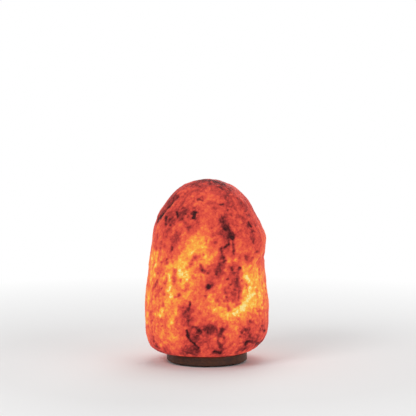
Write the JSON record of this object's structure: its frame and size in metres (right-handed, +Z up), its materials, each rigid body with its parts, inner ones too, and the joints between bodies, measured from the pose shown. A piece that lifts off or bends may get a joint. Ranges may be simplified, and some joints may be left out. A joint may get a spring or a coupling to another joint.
{
  "type": "salt crystal lamp",
  "caption": "Lit table lamp: a rough block of rock salt on a turned wooden base, drilled from below for a clip-in lampholder and a small screw-in bulb.",
  "frame": {"origin": "on the surface that the lamp stands on, under the middle of its bounding box, which is also the axis of the drilling, the lampholder and the bulb", "axes": "+Z up, +X to the right of someone facing the front, -Y towards them; the cord channel in the base runs out along +Y, to the back"},
  "size_m": [0.1792, 0.1616, 0.264],
  "materials": {
    "rock_salt": "satin",
    "dark_wood": "satin",
    "zinc_steel": "satin",
    "grey_nylon": "satin",
    "black_rubber": "matte",
    "black_nylon": "satin",
    "black_moulding": "satin",
    "white_ceramic": "satin",
    "brass": "satin",
    "spring_steel": "satin",
    "solder": "satin",
    "black_glass": "gloss",
    "nickel_plate": "satin",
    "cement": "matte",
    "clear_glass": "gloss",
    "lead_wire": "satin",
    "hot_filament": "satin"
  },
  "bodies": {
    "root": {"salt_crystal": "rock_salt", "wood_base": "dark_wood", "base_screws": "zinc_steel", "screw_plugs": "grey_nylon", "rubber_feet": "black_rubber"},
    "holder": {"cord_gland": "black_nylon", "cord_grip_screw": "black_nylon", "holder_cap": "black_moulding", "contact_block": "white_ceramic", "terminals": "brass", "terminal_screws": "zinc_steel", "holder_skirt": "black_moulding", "screw_shell": "brass", "centre_contact": "brass", "spring_clip": "spring_steel", "clip_nut": "black_moulding"},
    "bulb_end": {"bulb_contact": "solder", "bulb_insulator": "black_glass"},
    "bulb": {"bulb_cap": "nickel_plate", "cap_cement": "cement", "bulb_glass": "clear_glass", "bulb_stem": "clear_glass", "bulb_wires": "lead_wire", "bulb_filament": "hot_filament"}
  },
  "joints": [
    {"name": "holder_pull", "type": "slide", "parent": "root", "child": "holder", "axis": [0, 0, -1], "range_m": [0, 0.12]},
    {"name": "bulb_rise", "type": "slide", "parent": "holder", "child": "bulb_end", "axis": [0, 0, 1], "range_m": [0, 0.01128]},
    {"name": "bulb_turn", "type": "hinge", "parent": "bulb_end", "child": "bulb", "pos_m": [0, 0, 0.08], "axis": [0, 0, 1], "range_deg": [0, 1441]}
  ],
  "couplings": [
    {"joint": "bulb_turn", "follows": "bulb_rise", "rad_per_m": 2228.1}
  ]
}
